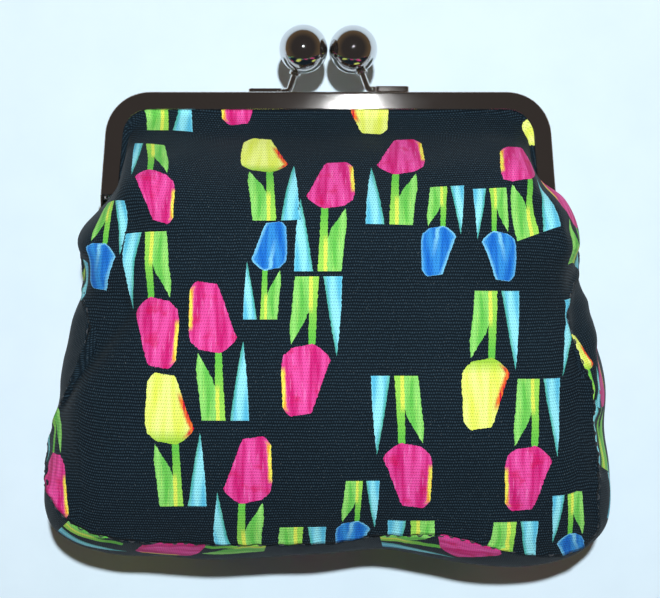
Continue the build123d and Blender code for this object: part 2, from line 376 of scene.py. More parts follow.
def gusset_grid():
    """Outer surface of the gusset, from the rear seam to the front seam."""
    columns = GUSSET_COLUMNS
    x, y = NECK[columns, 0], NECK[columns, 1]
    low, high = -rear_seam(y)[:, None], front_seam(x, y)[:, None]
    height = low + (high - low) * np.linspace(0, 1, GUSSET_ROWS)
    shape = np.broadcast_to(columns[:, None], height.shape)
    front = surface(shape, level_at(np.maximum(height, 0), 1), 1)
    rear = surface(shape, level_at(np.maximum(-height, 0), -1), -1)
    body = np.where(height[..., None] >= 0, front, rear)
    inwards = unit(BAG_MIDDLE - body)
    steps = EDGE_STEPS[None, :, None] * ALLOWANCE
    apart = np.array([0, 0, TURNED_OFF])
    first = body[:, :1] + inwards[:, :1] * steps + apart
    last = body[:, -1:] + inwards[:, -1:] * steps[:, ::-1] - apart
    return np.concatenate([first, body, last], 1)


def smoothed(points, rounds, closed):
    """Relaxes a grid's interior, leaving its edge rows where they are."""
    points = points.copy()
    for _ in range(rounds):
        if closed:
            around = (np.roll(points, 1, 0) + np.roll(points, -1, 0)) / 2
        else:
            around = points.copy()
            around[1:-1] = (points[:-2] + points[2:]) / 2
        along = points.copy()
        along[:, 1:-1] = (points[:, :-2] + points[:, 2:]) / 2
        mixed = (around + along) / 2
        points[:, EDGE + 1 : -1] += 0.5 * (mixed - points)[:, EDGE + 1 : -1]
    return points


def from_segment(points, start, end):
    """Distance from a line in the front view, and the side of it (+1 on its left)."""
    start, end = np.array(start, float), np.array(end, float)
    along = end - start
    rel = points[..., :2] - start
    share = np.clip((rel @ along) / (along @ along), 0, 1)
    gap = rel - share[..., None] * along
    side = np.sign(along[0] * rel[..., 1] - along[1] * rel[..., 0])
    return np.linalg.norm(gap, axis=-1) * side


# Soft creases of the front wall: start, end, height in mm and half width. A minus makes a valley.
CREASES = [
    ((-45, -4), (-60, -24), 1.5, 2.6),
    ((-50, 3), (-62, -13), -1.7, 3.4),
    ((-38, 20), (-52, 8), 0.8, 3.0),
    ((-33, 30), (-49, 18), -0.6, 3.0),
    ((58, 8), (60, -26), -1.5, 2.4),
    ((54, 14), (56, -16), 1.0, 2.2),
    ((49, 20), (58, -2), -0.9, 2.4),
    ((61, -14), (62, -40), 1.0, 2.6),
    ((38, 33), (50, 20), -0.7, 3.2),
    ((-55, -46), (-60, -30), 0.7, 3.0),
    ((30, -45), (52, -52), 0.6, 4.0),
]


def wave_noise(points, size, seed):
    """Smooth hills and hollows about one size wide."""
    rng = np.random.default_rng(seed)
    total = np.zeros(points.shape[:-1])
    for _ in range(7):
        direction = rng.normal(size=3)
        direction *= 2 * math.pi / size / np.linalg.norm(direction) * rng.uniform(0.7, 1.25)
        total += np.sin(points @ direction + rng.uniform(0, 2 * math.pi))
    return total / 7**0.5


WAVES = [(0.42, 34, 3), (0.16, 13, 8)]  # height, size and seed
PUCKER_HIGH, PUCKER_LONG, PUCKER_REACH = 0.15, 5.3, 3.4
PUCKER_WANDER, WANDER_LONG = 1.3, 9.0  # how unevenly the puckers are spaced
SEAM_SINKS, SINK_REACH = 0.75, 1.8
CREASES_FROM, CREASES_TO = 3, 12  # distance in front of the closing plane over which creases come in


def folds(points, from_seam, along_seam):
    """How far the cloth stands out from its plain shape, in mm."""
    front = ease(CREASES_FROM, CREASES_TO, points[..., 2] - CLOSING_Z)
    out = sum(high * wave_noise(points, size, seed) for high, size, seed in WAVES)
    for start, end, high, wide in CREASES:
        out += high * front * bump(from_segment(points, start, end), 0, wide)
    wander = PUCKER_WANDER * np.sin(along_seam / WANDER_LONG)
    pucker = np.sin(along_seam * 2 * math.pi / PUCKER_LONG + wander)
    out += PUCKER_HIGH * pucker * bump(from_seam, 0, PUCKER_REACH)
    out -= SEAM_SINKS * np.exp(-from_seam / SINK_REACH)
    return out


def lengths(points, axis):
    """Running length along one axis of a grid."""
    steps = np.linalg.norm(np.diff(points, axis=axis), axis=-1)
    start = np.zeros_like(np.take(steps, [0], axis=axis))
    return np.concatenate([start, np.cumsum(steps, axis=axis)], axis=axis)


GLUED_Y, GLUE_REACH = (17, 24), 9.0  # where the frame holds the cloth, and how far out that keeps it even


def folded(points, closed, hidden_last=0):
    """The grid with its folds; where its last rows are hidden in a seam too, hidden_last says how many."""
    normal = grid_normals(points, closed)
    along = lengths(points, 1)
    seam = np.abs(along - along[:, EDGE : EDGE + 1])
    if hidden_last:
        seam = np.minimum(seam, np.abs(along[:, -1 - hidden_last : -hidden_last] - along))
    ring = lengths(points[:, EDGE : EDGE + 1], 0)
    glued = ease(*GLUED_Y, points[:, EDGE : EDGE + 1, 1])
    share = 1 - glued * np.exp(-seam / GLUE_REACH)
    return points + normal * (folds(points, seam, ring) * share)[..., None]


plain = {"front": panel_grid(1), "rear": panel_grid(-1)[::-1], "gusset": gusset_grid()}
panels = {
    "front": folded(smoothed(plain["front"], 6, True), True),
    "rear": folded(smoothed(plain["rear"], 6, True), True),
    "gusset": folded(smoothed(plain["gusset"], 4, False), False, EDGE),
}
OVER_TABLE = 0.05  # the lowest the cloth lies
panels["rear"][..., 2] = np.maximum(panels["rear"][..., 2], OVER_TABLE)


# ---------------------------------------------------------------- meshes
def outward_sign(points, closed):
    """+1 if the grid's normals point away from the bag's middle, otherwise -1."""
    normal = grid_normals(points, closed)
    return 1.0 if (normal * (points - BAG_MIDDLE)).sum(-1).mean() > 0 else -1.0


def add_object(name, data):
    """A new object in the scene."""
    piece = bpy.data.objects.new(name, data)
    bpy.context.scene.collection.objects.link(piece)
    return piece


def add_smooth_mesh(name, verts, faces):
    """A smooth-shaded piece from points in mm."""
    mesh = bpy.data.meshes.new(name)
    mesh.from_pydata((verts * MM).tolist(), [], faces)
    mesh.shade_smooth()
    mesh.update()
    return add_object(name, mesh)


def sheet_mesh(name, points, depth, thick, closed, step, rows_kept):
    """A sheet of cloth: the grid pushed in by depth, and the same again by thick, joined round its edges.

    Each layer's points come first, then, where the grid is closed, the middle point of each layer."""
    out = outward_sign(points, closed)
    points = points[:, rows_kept.start : rows_kept.stop]
    normal = grid_normals(points, closed) * out
    points, normal = points[::step, :: rows_kept.step], normal[::step, :: rows_kept.step]
    count, rows = points.shape[:2]
    layers = [points - normal * depth, points - normal * (depth + thick)]
    verts = [layer.reshape(-1, 3) for layer in layers]
    if closed:
        verts += [layer[:, -1].mean(0)[None] for layer in layers]
    verts = np.concatenate(verts)
    total = count * rows
    first = np.arange(count if closed else count - 1)
    second = (first + 1) % count
    row = np.arange(rows - 1)
    a = (first[:, None] * rows + row).ravel()
    b = (second[:, None] * rows + row).ravel()
    quads = np.stack([a, b, b + 1, a + 1], 1)
    rim = np.stack([second * rows, first * rows, first * rows + total, second * rows + total], 1)
    faces = [quads, quads[:, ::-1] + total, rim]
    tris = []
    last, after = first * rows + rows - 1, second * rows + rows - 1
    if closed:
        centre = np.full(count, 2 * total)
        outer = np.stack([last, after, centre], 1)
        inner = np.stack([after + total, last + total, centre + 1], 1)
        tris = np.concatenate([outer, inner]).tolist()
    else:
        faces.append(np.stack([last, after, after + total, last + total], 1))
        faces.append(np.stack([row, row + 1, row + 1 + total, row + total], 1))
        base = (count - 1) * rows + row
        faces.append(np.stack([base + 1, base, base + total, base + 1 + total], 1))
    polygons = np.concatenate(faces).tolist() + tris
    if out < 0:
        polygons = [polygon[::-1] for polygon in polygons]
    return add_smooth_mesh(name, verts, polygons)


# ---------------------------------------------------------------- cloth coordinates
def polar_radius(ring, angle):
    """The outline's radius about the bag's centre at an angle."""
    rel = ring - np.array([0, BAG_CENTRE_Y])
    turn = np.arctan2(rel[:, 1], rel[:, 0])
    order = np.argsort(turn)
    turn, radius = turn[order], np.hypot(rel[order, 0], rel[order, 1])
    turn = np.concatenate([turn[-1:] - 2 * math.pi, turn, turn[:1] + 2 * math.pi])
    radius = np.concatenate([radius[-1:], radius, radius[:1]])
    return np.interp(angle, turn, radius)


def inside(x, y, height, side):
    """True where a point lies within the bag; height is its distance from the closing plane."""
    level = level_at(height, side)
    rise = y - BAG_CENTRE_Y
    tall = np.maximum(np.where(rise > 0, top_shrink(level), shrink(level, BOTTOM_POWER)), 1e-4)
    rise = rise / tall
    x = x / np.maximum(shrink(level, side_power(rise, level)), 1e-4)
    angle, share = np.arctan2(rise, x), ease(SPREAD_FROM, SPREAD_TO, height)
    radius = polar_radius(NECK, angle) * (1 - share) + polar_radius(SPREAD, angle) * share
    return (np.hypot(x, rise) < radius) & (level < 1)


SLICE_AT = np.arange(-68.0, 69.0, 1.0)  # where the bag is sliced to measure lengths over the cloth
SLICE_TURN = np.linspace(0, math.pi / 2, 150)
SLICE_WIDE = 60.0
SLICE_SMOOTHING = 4
SLICE_HALVINGS, SLICE_BEYOND = 22, 1.5  # the surface is found by halving, from a share well beyond it
SLICE_LIMITS = ((-56.0, 40.0), (-56.0, 56.0))  # slices further out miss the bag's middle


def slice_lengths(across, sign, side):
    """Length over the cloth from the middle, for slices at SLICE_AT and directions SLICE_TURN."""
    high = FRONT_HIGH if side > 0 else REAR_HIGH
    turn = SLICE_TURN[None, :]
    at = SLICE_AT[:, None] + 0 * turn
    low, far = np.zeros(at.shape), np.full(at.shape, SLICE_BEYOND)
    for _ in range(SLICE_HALVINGS):
        middle = (low + far) / 2
        sideways, height = sign * middle * SLICE_WIDE * np.sin(turn), middle * high * np.cos(turn)
        if across:
            within = inside(at, BAG_CENTRE_Y + sideways, height, side)
        else:
            within = inside(sideways, at, height, side)
        low, far = np.where(within, middle, low), np.where(within, far, middle)
    sideways, height = low * SLICE_WIDE * np.sin(turn), low * high * np.cos(turn)
    steps = np.hypot(np.diff(sideways, axis=1), np.diff(height, axis=1))
    table = np.concatenate([np.zeros((len(SLICE_AT), 1)), np.cumsum(steps, axis=1)], 1)
    first, last = (np.argmin(np.abs(SLICE_AT - limit)) for limit in SLICE_LIMITS[across])
    table[:first], table[last:] = table[first], table[last]
    for _ in range(SLICE_SMOOTHING):
        table[1:-1] = (table[:-2] + 2 * table[1:-1] + table[2:]) / 4
    return table


def look_up(table, at, turn):
    """Bilinear reading of a slice table."""
    i = np.clip((at - SLICE_AT[0]) / (SLICE_AT[1] - SLICE_AT[0]), 0, len(SLICE_AT) - 1.001)
    j = np.clip(turn / SLICE_TURN[-1] * (len(SLICE_TURN) - 1), 0, len(SLICE_TURN) - 1.001)
    i0, j0 = i.astype(int), j.astype(int)
    fi, fj = i - i0, j - j0
    low = table[i0, j0] * (1 - fj) + table[i0, j0 + 1] * fj
    high = table[i0 + 1, j0] * (1 - fj) + table[i0 + 1, j0 + 1] * fj
    return low * (1 - fi) + high * fi


def cloth_maker(side):
    """A function from points on a panel to the lengths over the cloth, across and up, from its middle."""
    high = FRONT_HIGH if side > 0 else REAR_HIGH
    ways = [(across, sign) for across in (0, 1) for sign in (-1, 1)]
    tables = {way: slice_lengths(*way, side) for way in ways}

    def cloth(points):
        height = np.maximum(side * (points[..., 2] - CLOSING_Z), 1e-3) / high
        found = []
        for across in (0, 1):
            value = points[..., 0] if not across else points[..., 1] - BAG_CENTRE_Y
            at = points[..., 1] if not across else points[..., 0]
            at = np.clip(at, *SLICE_LIMITS[across])
            turn = np.arctan2(np.abs(value) / SLICE_WIDE, height)
            plus, minus = (look_up(tables[(across, sign)], at, turn) for sign in (1, -1))
            found.append(np.where(value > 0, plus, -minus))
        return np.stack(found, -1)

    return cloth


cloth_of = {"front": cloth_maker(1), "rear": cloth_maker(-1)}

# ---------------------------------------------------------------- the printed tulips
CAMERA_X, CAMERA_Y = 0.4, -1.7
SEEN_AT_Z = 29.0  # height of the frame's face
CAMERA_AWAY = 400.0  # from the camera to the frame's face

PINK, YELLOW, BLUE, LEAVES = 0, 1, 2, 3
# Each part of a tulip as (height, left edge, right edge) steps, in mm from where the stem meets the flower.
FLOWER = [
    (0.0, -0.4, 0.4),
    (0.75, -4.3, 1.7),
    (2.4, -6.1, 3.5),
    (3.45, -6.4, 4.05),
    (4.75, -6.6, 3.45),
    (7.1, -6.6, 2.6),
    (13.6, -6.3, 0.35),
    (14.9, -5.4, -0.3),
    (15.4, -4.8, -4.0),
]
STEM = [(-14.7, -0.55, 1.55), (-7.5, -0.65, 1.1), (0.0, -0.75, 0.75)]
GREEN_LEAF = [
    (-14.7, -3.6, -0.5),
    (-7.6, -4.3, -0.6),
    (-5.4, -4.6, -1.3),
    (-3.6, -4.8, -2.4),
    (-1.6, -4.7, -3.6),
    (-0.1, -4.5, -4.4),
]
PALE_LEAF = [(-14.7, 2.5, 6.6), (-8.0, 3.5, 6.35), (-3.0, 4.3, 5.95), (2.4, 5.3, 5.4)]
PARTS = [FLOWER, STEM, GREEN_LEAF, PALE_LEAF]
FOOT = -14.6
BLUE_SIZE = 0.72

# Tulips of the front panel: colour, size, mirrored, turn in degrees, then x and y as seen from the front, in
# mm. The point placed there is where the stem meets the flower, or the point (across, up) that follows.
FRONT_PRINT = [
    (LEAVES, 1, 0, 0, -38.7, 37.6, 0, FOOT),
    (PINK, 1, 1, 180, -18.5, 39.0, 0, 15.4),
    (YELLOW, 1, 0, 180, 7.6, 36.7, 0, 15.4),
    (YELLOW, 1, 1, 180, 45.8, 36.2, -4.8, 15.4),
    (YELLOW, 1, 0, 0, -13.8, 27.8),
    (PINK, 1, 1, 0, -0.8, 19.4),
    (PINK, 1, 1, 0, 15.7, 27.4),
    (PINK, 1, 0, 9, 47.0, 26.3),
    (PINK, 0.84, 0, 180, -41.5, 28.4),
    (BLUE, 0.8, 1, 170, -52.0, 11.1),
    (LEAVES, 1, 1, 180, -56.7, 7.4, 4.5, FOOT),
    (BLUE, BLUE_SIZE, 1, 0, -14.8, 5.0),
    (PINK, 1, 0, 180, -41.2, -1.3),
    (PINK, 1, 0, 0, -25.6, -14.3),
    (PINK, 1, 1, 180, -3.8, -12.0),
    (BLUE, BLUE_SIZE, 1, 180, 26.7, 15.3),
    (BLUE, BLUE_SIZE, 0, 180, 38.6, 14.1),
    (YELLOW, 1, 1, 180, 38.1, -15.5),
    (YELLOW, 1, 0, 0, -35.6, -35.5),
    (PINK, 1, 1, 0, -20.1, -49.2),
    (PINK, 1, 0, 180, 17.1, -35.3),
    (PINK, 1, 1, 180, 48.1, -36.0),
    (BLUE, BLUE_SIZE, 1, 180, 6.7, -53.4),
    (BLUE, BLUE_SIZE, 0, 180, 56.2, -56.4),
    (PINK, 1, 0, 180, -64.0, -37.4),
    (PINK, 1, 0, 0, 57.2, 14.3),
    (LEAVES, 1, 0, 180, 56.5, -1.7, 4.5, FOOT),
    (LEAVES, 1, 1, 180, -7.4, -54.8, 0, FOOT),
    (LEAVES, 1, 0, 180, 20.8, -53.4, 0, FOOT),
    (LEAVES, 1, 1, 180, 42.3, -53.6, 0, FOOT),
]
# Tulips of the gusset that are seen from the front. A turn of 0 points at the front panel.
GUSSET_PRINT = [
    (PINK, 1, 0, 90, -28.7, -59.4),
    (PINK, 1, 0, -90, 26.0, -59.4),
    (LEAVES, 1, 0, -90, -48.0, -58.8),
    (PINK, 1, 1, -90, 62.3, -39.9, 4.5, FOOT),
    (LEAVES, 1, 1, -90, 64.0, -52.0, 4.5, FOOT),
    (YELLOW, 0.6, 0, -90, 60.5, -18.0),
    (LEAVES, 1, 1, 90, -61.4, -30.0),
]
REPEAT = [PINK, YELLOW, PINK, BLUE, PINK, PINK, YELLOW, BLUE]  # colours where the print is made up


def seen_place(points):
    """Where points appear in the front view, on the plane of the frame's face."""
    eye = np.array([CAMERA_X, CAMERA_Y])
    share = CAMERA_AWAY / (CAMERA_AWAY + SEEN_AT_Z - points[..., 2])
    return eye + (points[..., :2] - eye) * share[..., None]


NEAR_POINTS = 4  # how many points of the grid a place on the cloth is averaged from


def seen_cloth(points, cloth, x, y):
    """Cloth coordinates of the place that appears at (x, y)."""
    gap = np.linalg.norm(seen_place(points) - np.array([x, y]), axis=-1)
    near = np.argsort(gap.ravel())[:NEAR_POINTS]
    weight = 1 / (gap.ravel()[near] + 1e-3)
    return (cloth.reshape(-1, 2)[near] * weight[:, None]).sum(0) / weight.sum()


# A slant is measured over this distance each way, and limited; the print takes this share of it.
LEAN_OVER, MOST_LEAN, LEAN_SHARE = 6.0, 0.7, 0.5


def seen_lean(points, cloth, x, y):
    """How the print slants, so that it is seen upright: across per up, and up per across."""
    up = seen_cloth(points, cloth, x, y + LEAN_OVER) - seen_cloth(points, cloth, x, y - LEAN_OVER)
    across = seen_cloth(points, cloth, x + LEAN_OVER, y) - seen_cloth(points, cloth, x - LEAN_OVER, y)
    lean = [up[0] / max(up[1], 1.0), across[1] / max(across[0], 1.0)]
    return LEAN_SHARE * np.clip(lean, -MOST_LEAN, MOST_LEAN)


def turned_by(x, y, turn):
    """A place turned anticlockwise about the origin."""
    return x * math.cos(turn) - y * math.sin(turn), x * math.sin(turn) + y * math.cos(turn)


IN_FRONT = 2  # only cloth this far in front of the closing plane is matched with the front view


def placed(entries, points, cloth, upright):
    """Tulips as (colour, size, mirrored, turn, cloth coordinates of the stem's top, lean)."""
    points, cloth = points[:, EDGE:-EDGE], cloth[:, EDGE:-EDGE]
    facing = points[..., 2] > CLOSING_Z + IN_FRONT
    points, cloth = points[facing], cloth[facing]
    found = []
    for colour, size, mirrored, turn, x, y, *anchor in entries:
        at = seen_cloth(points, cloth, x, y)
        turn = math.radians(turn)
        across, up = anchor or (0, 0)
        across = -across if mirrored else across
        across, up = turned_by(across, up, turn)
        lean = seen_lean(points, cloth, x, y) if upright else np.zeros(2)
        shift = size * np.array([across + lean[0] * up, up + lean[1] * across])
        found.append((colour, size, mirrored, turn, at - shift, lean))
    return found


def local_place(cloth, tulip):
    """Coordinates within a tulip: across to its right leaf, and up from the stem's top."""
    colour, size, mirrored, turn, at, lean = tulip
    rel = (cloth - at) / size
    rel = (rel - rel[..., ::-1] * lean) / (1 - lean[0] * lean[1])
    across, up = turned_by(rel[..., 0], rel[..., 1], -turn)
    return np.stack([-across if mirrored else across, up], -1)


FAR_AWAY = 1e3  # further than any two points of the purse
NO_TULIP, FAR_OFF = 9.0, 60.0  # kind of a face without a tulip, and the coordinate of its corners
PRINT_REACH = 4.0  # faces this near to a tulip are given its coordinates


def gap_to_tulip(local, colour):
    """Distance from a tulip's nearest part, in mm."""
    gap = np.full(local.shape[:-1], FAR_AWAY)
    for part in PARTS:
        if part is FLOWER and colour == LEAVES:
            continue
        up, left, right = np.array(part).T
        at = np.clip(local[..., 1], up[0], up[-1])
        beside_left = np.interp(at, up, left) - local[..., 0]
        beside_right = local[..., 0] - np.interp(at, up, right)
        beside = np.maximum(np.maximum(beside_left, beside_right), 0)
        gap = np.minimum(gap, np.hypot(beside, local[..., 1] - at))
    return gap


def print_tulips(piece, cloth, tulips, closed):
    """Writes cloth coordinates and, for each face of the right side, those within the nearest tulip."""
    mesh = piece.data
    corners = np.zeros(len(mesh.loops), np.int32)
    mesh.loops.foreach_get("vertex_index", corners)
    centres = 2 if closed else 0
    half = (len(mesh.vertices) - centres) // 2
    wrong_side = (corners >= half) & ((corners < 2 * half) | (corners == 2 * half + 1))
    starts, counts = np.zeros(len(mesh.polygons), np.int32), np.zeros(len(mesh.polygons), np.int32)
    mesh.polygons.foreach_get("loop_start", starts)
    mesh.polygons.foreach_get("loop_total", counts)
    at = cloth[corners]
    middle = np.add.reduceat(at, starts) / counts[:, None]
    printable = np.add.reduceat(wrong_side.astype(int), starts) < counts
    best, owner = np.full(len(middle), PRINT_REACH), np.full(len(middle), -1)
    for index, tulip in enumerate(tulips):
        gap = gap_to_tulip(local_place(middle, tulip), tulip[0]) * tulip[1]
        nearer = (gap < best) & printable
        best[nearer], owner[nearer] = gap[nearer], index
    face_of = np.repeat(np.arange(len(middle)), counts)
    local, kind = np.full(at.shape, FAR_OFF), np.full(len(middle), NO_TULIP)
    for index, tulip in enumerate(tulips):
        chosen = owner[face_of] == index
        local[chosen] = local_place(at[chosen], tulip)
        kind[owner == index] = tulip[0]
    for layer, values in (("cloth", at), ("tulip", local)):
        mesh.uv_layers.new(name=layer).data.foreach_set("uv", values.astype(np.float32).ravel())
    mesh.attributes.new("kind", "FLOAT", "FACE").data.foreach_set("value", kind.astype(np.float32))


def strip_cloth(points):
    """Cloth coordinates of the gusset: along it to the right, and from the closing plane forwards."""
    middle = points.shape[1] // 2
    along = lengths(points[:, middle : middle + 1], 0)[:, 0]
    bottom = np.argmin(np.abs(points[:, middle, 0]) + FAR_AWAY * (points[:, middle, 1] > 0))
    across = lengths(points, 1)
    body = slice(EDGE, -EDGE)
    start = [np.interp(CLOSING_Z, line[body, 2], length[body]) for line, length in zip(points, across)]
    across = across - np.array(start)[:, None]
    return np.stack([np.broadcast_to((along[bottom] - along)[:, None], across.shape), across], -1)


def both_faces(cloth, closed):
    """Cloth coordinates for every vertex of a sheet_mesh."""
    flat = cloth.reshape(-1, 2)
    parts = [flat, flat]
    if closed:
        parts += [cloth[:, -1].mean(0)[None]] * 2
    return np.concatenate(parts)


TRUSTED = ((-55.0, 38.0), (-55.0, 55.0))  # y for lengths across, x for lengths up
LOOK_BACK = 3  # rows over which the cloth's direction at its edge is taken


def with_edges(cloth, points):
    """Carries the cloth coordinates on past the slices, and over the rows hidden in a channel or seam."""
    cloth = cloth.copy()
    column, rows = np.arange(len(points)), np.arange(points.shape[1])
    for axis, (low, high) in enumerate(TRUSTED):
        other = points[..., 1 - axis]
        first = np.argmax((other >= low) & (other <= high), axis=1)
        value = cloth[column, first, axis] - points[column, first, axis]
        before = rows[None, :] < first[:, None]
        cloth[..., axis] = np.where(before, value[:, None] + points[..., axis], cloth[..., axis])
    along = lengths(points, 1)
    away = cloth[:, EDGE] - cloth[:, EDGE + LOOK_BACK]
    away /= np.maximum(np.linalg.norm(away, axis=-1, keepdims=True), 1e-6)
    for row in range(EDGE):
        cloth[:, row] = cloth[:, EDGE] + away * (along[:, EDGE] - along[:, row])[:, None]
    return cloth


cloths = {
    "front": with_edges(cloth_of["front"](plain["front"]), plain["front"]),
    "rear": with_edges(cloth_of["rear"](plain["rear"]), plain["rear"]),
    "gusset": strip_cloth(panels["gusset"]),
}
tulips = {
    "front": placed(FRONT_PRINT, panels["front"], cloths["front"], True),
    "gusset": placed(GUSSET_PRINT, panels["gusset"], cloths["gusset"], False),
    "rear": [],
}


def repeat_tulip(part, step, mirrored, turn, x, y):
    """Adds one tulip of the made-up repeat, at its place on the cloth."""
    colour = REPEAT[step % len(REPEAT)]
    size = BLUE_SIZE if colour == BLUE else 1.0
    tulips[part].append((colour, size, mirrored, turn, np.array([x, y]), np.zeros(2)))


REAR_PITCH_X, REAR_PITCH_Y = 21.0, 29.0
for column in range(-4, 5):
    for row in range(-3, 4):
        up = REAR_PITCH_Y * row + REAR_PITCH_Y / 2 * (column % 2)
        turn = math.pi * ((column + row) % 2)
        mirrored = (column - row) % 3 == 0
        repeat_tulip("rear", 3 * column + 5 * row, mirrored, turn, REAR_PITCH_X * column, up)
GUSSET_PITCH, GUSSET_FROM, GUSSET_BEHIND = 25.0, 6.0, 9.0
for index in range(-7, 8):
    along = GUSSET_PITCH * index + GUSSET_FROM
    repeat_tulip("gusset", index, index % 2, math.pi / 2, along, -GUSSET_BEHIND)

# ---------------------------------------------------------------- the bag's pieces
STEPS = {"panel": 1, "interlining": 2, "lining": 2}  # the inner layers keep every other column and row
HIDDEN_ROWS = {"panel": 0, "interlining": EDGE, "lining": EDGE}
cloth_pieces = {}


def kept_rows(part, layer):
    """The rows of a panel's grid that a layer keeps; inner layers stop short of seams and channels."""
    hidden = HIDDEN_ROWS[layer]
    stop = panels[part].shape[1] - (hidden if part == "gusset" else 0)
    return slice(hidden, stop, STEPS[layer])


def cad_nodes(part, layer):
    """The CAD nodes that a cloth stands for."""
    if part == "front":
        return f"front_{layer}_upper", f"front_{layer}_lower"
    return ("gusset",) if (part, layer) == ("gusset", "panel") else (f"{part}_{layer}",)


for part, points in panels.items():
    closed = part != "gusset"
    for layer, (depth, thick) in LAYERS.items():
        step = STEPS[layer]
        rows = kept_rows(part, layer)
        piece = sheet_mesh(f"{part}_{layer}_cloth", points, depth, thick, closed, step, rows)
        coordinates = both_faces(cloths[part][::step, rows], closed)
        print_tulips(piece, coordinates, tulips[part] if layer == "panel" else [], closed)
        cloth_pieces[part, layer] = piece
        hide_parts(*cad_nodes(part, layer))


STAYS, FOLLOWS = 0.42, 0.97  # nearness to the frame at which the wall starts to follow, and follows fully
MOST_SQUARED = 1e3  # square of the largest distance that counts, in mm2


def front_share(points):
    """How far each point of the front wall follows the front half of the frame, from 0 to 1."""
    edge = panels["front"][:, EDGE]
    glued = edge[edge[:, 1] > LEG_END_Y]
    sewn = edge[edge[:, 1] < HINGE_Y]
    gaps = []
    for line in (glued, sewn):
        gap = np.full(len(points), MOST_SQUARED)
        for point in line[::2]:
            gap = np.minimum(gap, ((points - point) ** 2).sum(1))
        gaps.append(np.sqrt(gap))
    to_frame, to_seam = gaps
    # The cloth next to the hinge turns with the leg above it and stays with the gusset below it.
    return ease(STAYS, FOLLOWS, to_seam / (to_seam + to_frame + 1e-6))


for (part, layer), piece in cloth_pieces.items():
    cut = np.ptp(cloths[part][:, kept_rows(part, layer)].reshape(-1, 2), axis=0) * MM

share_grid = front_share(panels["front"].reshape(-1, 3)).reshape(COLUMNS, -1)
in_channel = IN_FRAME[:, None] * (np.arange(share_grid.shape[1]) <= EDGE)[None, :]
share_grid = np.maximum(share_grid, in_channel)
# Beside a hinge the cloth follows the front leg by PULL, which fades out down to PULL_FROM_Y, over
# PULL_OVER_Z to the closing plane, and over PULL_REACH from the front panel's edge.
PULL, PULL_FROM_Y, PULL_OVER_Z, PULL_REACH = 0.85, 4.0, 3.0, 9.0


def hinge_pull(points):
    """How far cloth beside the hinge is drawn along with the front leg."""
    beside_leg = PULL * ease(PULL_FROM_Y, HINGE_Y, points[..., 1])
    return beside_leg * ease(CLOSING_Z, CLOSING_Z + PULL_OVER_Z, points[..., 2])


def follow_front(piece, share):
    """Bakes the piece's placement into its mesh; share is not used."""
    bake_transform(piece)


from_edge = lengths(panels["front"], 1)
from_edge = np.abs(from_edge - from_edge[:, EDGE : EDGE + 1])
edge_pull = hinge_pull(panels["front"][:, EDGE : EDGE + 1]) * bump(from_edge, 0, PULL_REACH)
share_grid = 1 - (1 - share_grid) * (1 - edge_pull)
gusset_share = hinge_pull(panels["gusset"])
gusset_share[:, -EDGE:] = gusset_share[:, -1 - EDGE : -EDGE]
for (part, layer), piece in cloth_pieces.items():
    if part == "rear":
        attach(piece, ROOT)
        continue
    share = share_grid if part == "front" else gusset_share
    share = share[:: STEPS[layer], kept_rows(part, layer)]
    follow_front(piece, both_faces(np.stack([share, share], -1), part == "front")[:, 0])


# ---------------------------------------------------------------- stitches along the seams
STITCH_PITCH, STITCH_LONG, THREAD_R = 2.4, 1.7, 0.16
THREAD_SIDES, THREAD_SECTIONS = 7, 7
ARCH, SUNK = 0.42, 0.3  # how far a stitch's middle rises over its ends, and the ends lie below the cloth
LINE_ENDS = 3  # points left out at each end of a seam


def read_line(at, along, points):
    """Places read off a line of points, whose positions along it are given."""
    return np.stack([np.interp(at, along, points[:, axis]) for axis in range(3)], 1)


def even_line(points, pitch):
    """Points spaced evenly along an open line, and the direction at each."""
    along = running(np.linalg.norm(np.diff(points, axis=0), axis=1))
    at = np.arange(pitch, along[-1] - pitch, pitch)
    place = read_line(at, along, points)
    return place, unit(read_line(at + 0.3, along, points) - place)


def stitches(name, line, outward):
    """A row of short threads that dive into the cloth at both ends."""
    verts, faces = [], []
    place, direction = even_line(line, STITCH_PITCH)
    count = len(place)
    out = unit(read_line(np.arange(count), np.linspace(0, count - 1, len(line)), outward))
    sections = np.linspace(-0.5, 0.5, THREAD_SECTIONS)
    turn = np.linspace(0, 2 * math.pi, THREAD_SIDES, endpoint=False)
    for middle, ahead, up in zip(place, direction, out):
        side = unit(np.cross(ahead, up))
        up = np.cross(side, ahead)
        base = len(verts) * THREAD_SECTIONS * THREAD_SIDES
        dive = ARCH * np.cos(sections * math.pi) - SUNK
        radius = THREAD_R * np.sqrt(np.clip(1.15 - (2 * sections) ** 2, 0.05, 1))
        spine = middle + np.outer(sections * STITCH_LONG, ahead) + np.outer(dive, up)
        ring = np.outer(np.cos(turn), side) + np.outer(np.sin(turn), up)
        verts.append((spine[:, None] + radius[:, None, None] * ring[None]).reshape(-1, 3))
        for section in range(THREAD_SECTIONS - 1):
            start = base + section * THREAD_SIDES
            for k in range(THREAD_SIDES):
                a, b = start + k, start + (k + 1) % THREAD_SIDES
                faces.append((a, b, b + THREAD_SIDES, a + THREAD_SIDES))
        end = base + (THREAD_SECTIONS - 1) * THREAD_SIDES
        faces.append([base + k for k in reversed(range(THREAD_SIDES))])
        faces.append([end + k for k in range(THREAD_SIDES)])
    return add_smooth_mesh(name, np.concatenate(verts), faces)


gusset = panels["gusset"]
gusset_out = grid_normals(gusset, False) * outward_sign(gusset, False)
sewn_part = slice(LINE_ENDS, -LINE_ENDS)
seams = []
